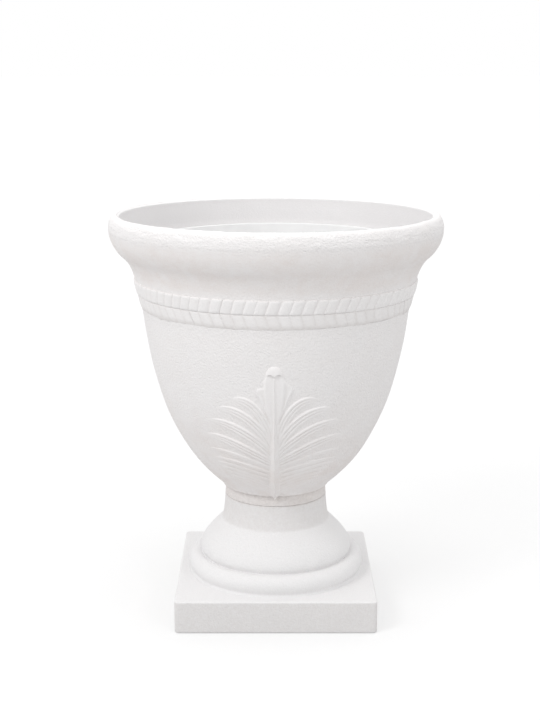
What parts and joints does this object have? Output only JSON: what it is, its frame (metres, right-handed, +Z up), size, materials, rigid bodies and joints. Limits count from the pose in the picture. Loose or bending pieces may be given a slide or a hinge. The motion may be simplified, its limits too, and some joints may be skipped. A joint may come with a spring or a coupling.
{
  "type": "urn planter",
  "caption": "Classical urn planter: flared bowl with rolled lip, rope band and leaf relief on a square-plinth pedestal, with a lift-out liner and a drain plug.",
  "frame": {"origin": "on the floor, under the middle of the square plinth", "axes": "+Z up along the axis of the bowl; -Y towards the front leaf, which the picture shows; +X to the viewer's right"},
  "size_m": [0.39, 0.39, 0.475],
  "materials": {
    "stone_resin": "fine-grained off-white stone-effect resin, matte",
    "liner_plastic": "smooth white polypropylene, satin",
    "plug_rubber": "soft black rubber, matte",
    "screw_steel": "stainless steel, satin"
  },
  "bodies": {
    "urn": {"pedestal": "stone_resin", "bowl": "stone_resin", "bowl_rim": "stone_resin", "screw_1": "screw_steel", "screw_2": "screw_steel", "screw_3": "screw_steel", "screw_4": "screw_steel", "screw_washer_1": "plug_rubber", "screw_washer_2": "plug_rubber", "screw_washer_3": "plug_rubber", "screw_washer_4": "plug_rubber"},
    "liner": {"liner": "liner_plastic"},
    "drain_plug": {"drain_plug": "plug_rubber"}
  },
  "joints": [
    {"name": "liner_lift", "type": "slide", "parent": "urn", "child": "liner", "axis": [0, 0, 1], "range_m": [0, 0.27]},
    {"name": "plug_pull", "type": "slide", "parent": "urn", "child": "drain_plug", "axis": [0, 0, 1], "range_m": [0, 0.04]}
  ]
}
